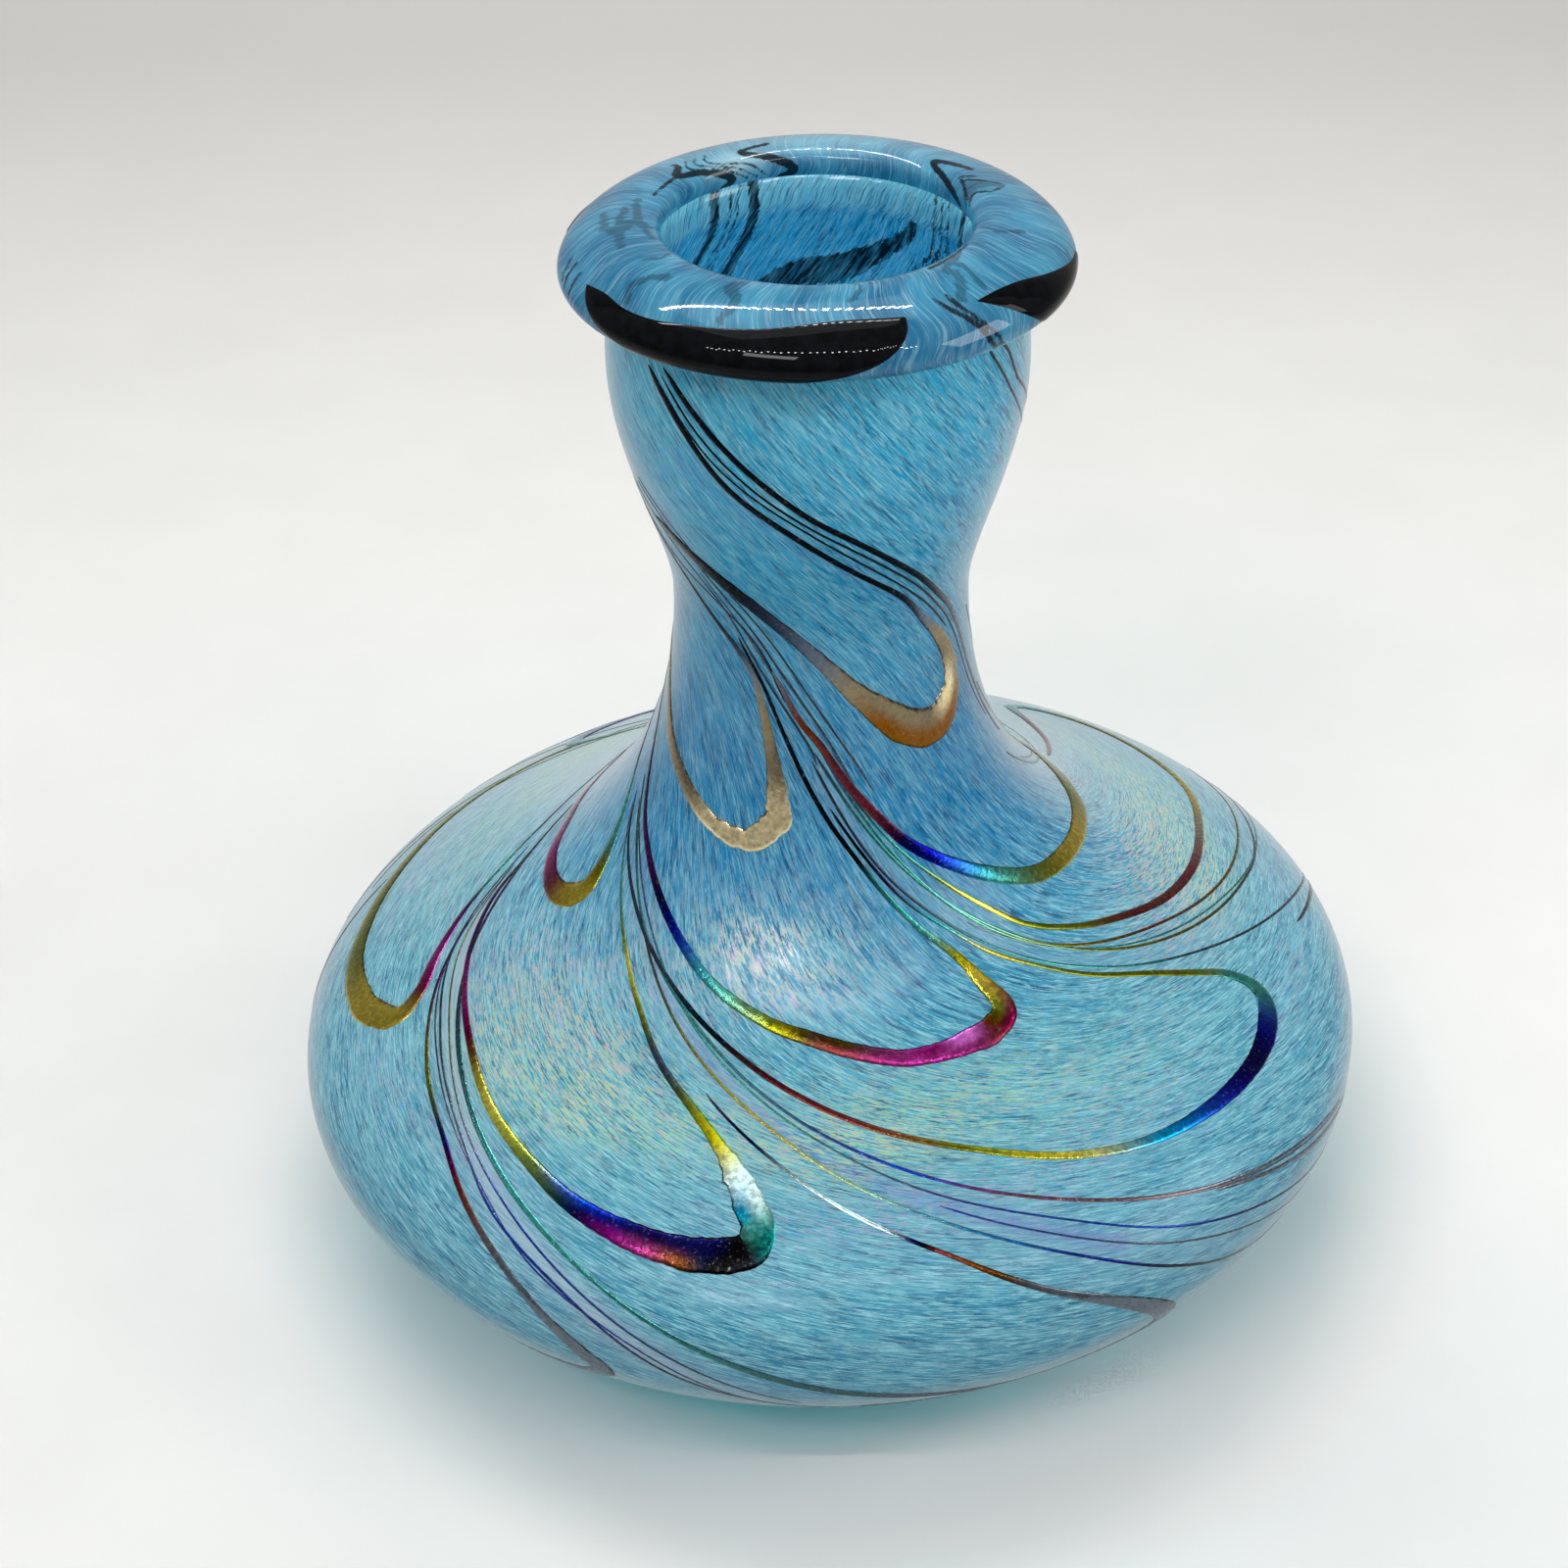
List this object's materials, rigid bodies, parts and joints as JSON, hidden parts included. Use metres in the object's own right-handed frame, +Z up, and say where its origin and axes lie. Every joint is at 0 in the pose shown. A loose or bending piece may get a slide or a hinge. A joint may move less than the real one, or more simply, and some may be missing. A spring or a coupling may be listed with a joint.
{
  "type": "art glass vase",
  "caption": "Squat blown glass vase: flattened round body, narrow waisted neck, thick rolled lip, swirled pulled-loop trails over mottled blue glass.",
  "frame": {"origin": "centre of the foot, on the surface the vase stands on", "axes": "+Z up through the mouth; -Y is the front, +X is to the right seen from the front"},
  "size_m": [0.1407, 0.1405, 0.1385],
  "materials": {
    "frit_glass": "gloss with a thin iridescent luster, mottled blue and white frit in swirled streaks",
    "clear_glass": "clear gloss",
    "lip_glass": "fire polished, clear blue",
    "black_glass": "fire polished, opaque black",
    "luster_glass": "black glass with a metallic luster from gold and olive through magenta to blue"
  },
  "bodies": {
    "root": {"color_casing": "frit_glass", "clear_gather": "clear_glass", "rolled_lip": "lip_glass", "lip_patch_front": "black_glass", "lip_patch_right": "black_glass", "lip_patch_left": "black_glass", "lip_patch_back_left": "black_glass", "lip_patch_back_right": "black_glass", "trail_loop_neck_front": "luster_glass", "trail_loop_neck_left": "luster_glass", "trail_loop_shoulder_left": "luster_glass", "trail_loop_shoulder_front": "luster_glass", "trail_loop_shoulder_right": "luster_glass", "trail_loop_body_left": "luster_glass", "trail_loop_body_front": "luster_glass", "trail_loop_body_right": "luster_glass", "trail_loop_body_far_right": "luster_glass", "trail_loop_low_left": "luster_glass", "trail_loop_low_front": "luster_glass", "trail_loop_neck_back_right": "luster_glass", "trail_loop_neck_back_left": "luster_glass", "trail_loop_shoulder_back": "luster_glass", "trail_loop_shoulder_back_left": "luster_glass", "trail_loop_body_back": "luster_glass", "trail_loop_low_right": "luster_glass", "trail_loop_low_back": "luster_glass", "trail_loop_low_back_left": "luster_glass", "trail_thread_neck": "black_glass", "trail_thread_neck_right": "black_glass", "trail_thread_front": "black_glass", "trail_thread_right": "black_glass", "trail_thread_left": "black_glass"}
  },
  "joints": []
}
